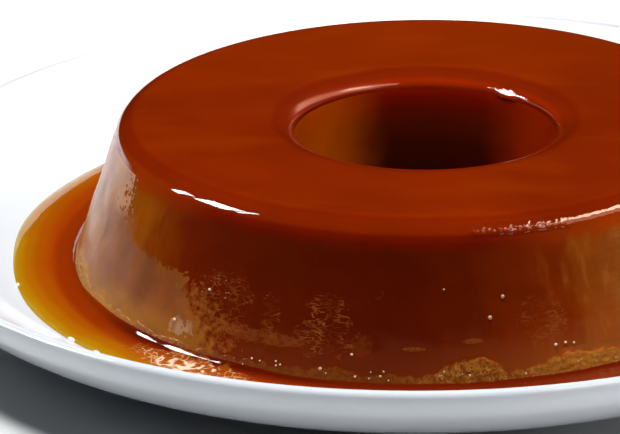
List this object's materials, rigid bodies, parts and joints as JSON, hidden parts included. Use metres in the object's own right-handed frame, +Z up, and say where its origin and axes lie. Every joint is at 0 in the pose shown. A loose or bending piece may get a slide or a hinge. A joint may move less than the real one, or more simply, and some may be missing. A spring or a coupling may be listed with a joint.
{
  "type": "creme caramel flan on a plate",
  "caption": "Ring-shaped creme caramel flan under a glossy caramel layer, turned out on a round white coupe plate with a pool of caramel sauce round it.",
  "frame": {"origin": "on the plate's axis, at the plane its foot ring stands on", "axes": "+Z up; -Y towards the side that the flan was turned out nearer to, which faces the viewer; +X to the viewer's right"},
  "size_m": [0.311, 0.311, 0.0504],
  "materials": {
    "glazed_porcelain": "white glazed porcelain, glossy",
    "baked_custard": "wet baked custard skin, soaked with caramel, amber to dark brown",
    "caramel": "clear set caramel, deep red-brown, very glossy",
    "caramel_sauce": "liquid caramel sauce, yellow at its thin edge and dark red where deep"
  },
  "bodies": {
    "root": {"plate": "glazed_porcelain", "custard": "baked_custard", "caramel_layer": "caramel", "sauce_pool": "caramel_sauce", "hole_sauce": "caramel_sauce"}
  },
  "joints": []
}
